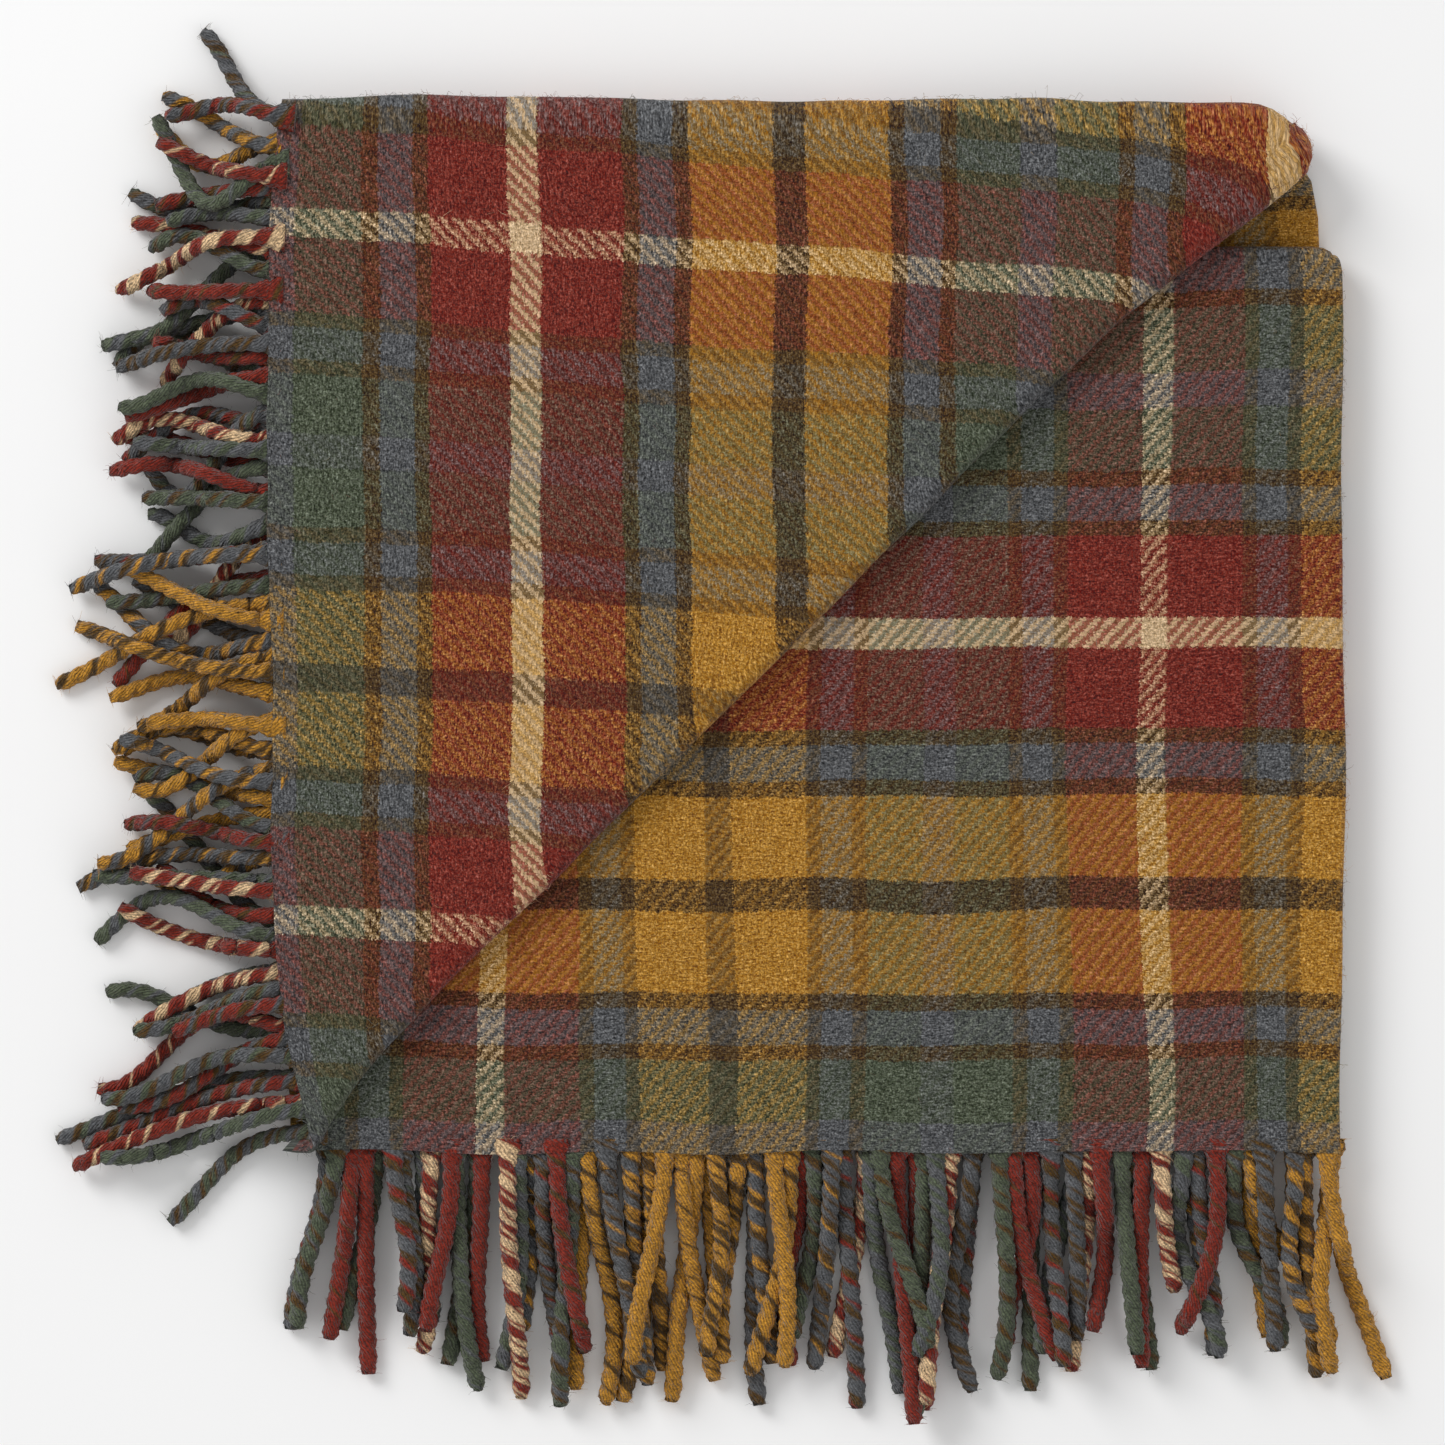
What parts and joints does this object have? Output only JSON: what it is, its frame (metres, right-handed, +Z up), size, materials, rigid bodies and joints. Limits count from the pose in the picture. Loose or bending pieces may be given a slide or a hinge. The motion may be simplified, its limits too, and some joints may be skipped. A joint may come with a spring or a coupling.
{
  "type": "folded throw blanket",
  "caption": "Woven check wool throw with twisted fringes, folded to a square pack, its top corner turned back along the diagonal.",
  "frame": {"origin": "middle of the bottom leaf's underside, on the surface that the pack lies on", "axes": "+Z up through the pack; -Y towards the fringed front edge; -X towards the fringe of the turned corner"},
  "size_m": [0.479, 0.4777, 0.0272],
  "materials": {
    "woven_wool": "brushed twill check in red, mustard, green, slate blue and brown with a cream line",
    "fringe_wool": "twisted two-strand wool tassels in the colours of the cloth's lengthways stripes"
  },
  "bodies": {
    "pack": {"bottom_leaf": "woven_wool", "middle_leaf": "woven_wool", "upper_leaf": "woven_wool", "front_turn": "woven_wool", "inner_back_turn": "woven_wool", "outer_back_turn": "woven_wool", "front_fringe_first_row": "fringe_wool", "front_fringe_second_row": "fringe_wool", "front_fringe_third_row": "fringe_wool", "front_fringe_fourth_row": "fringe_wool"},
    "top_leaf": {"top_leaf": "woven_wool"},
    "turned_corner": {"turned_corner": "woven_wool", "corner_turn": "woven_wool"},
    "corner_fringe": {"corner_fringe_first_row": "fringe_wool", "corner_fringe_second_row": "fringe_wool", "corner_fringe_third_row": "fringe_wool", "corner_fringe_fourth_row": "fringe_wool"}
  },
  "joints": [
    {"name": "top_leaf_fold", "type": "hinge", "parent": "pack", "child": "top_leaf", "pos_m": [0, 0.1815, 0.0136], "axis": [-1, 0, 0], "range_deg": [0, 180], "deforming": ["outer_back_turn"]},
    {"name": "corner_fold", "type": "hinge", "parent": "top_leaf", "child": "turned_corner", "pos_m": [-0.0075, 0.0015, 0.02185], "axis": [0.7071, 0.7071, 0], "range_deg": [0, 180], "deforming": ["corner_turn"]},
    {"name": "fringe_droop", "type": "hinge", "parent": "turned_corner", "child": "corner_fringe", "pos_m": [-0.1887, 0, 0.0224], "axis": [0, 1, 0], "range_deg": [0, 11.5]}
  ],
  "couplings": [
    {"joint": "fringe_droop", "follows": "corner_fold", "ratio": 0.063889}
  ]
}
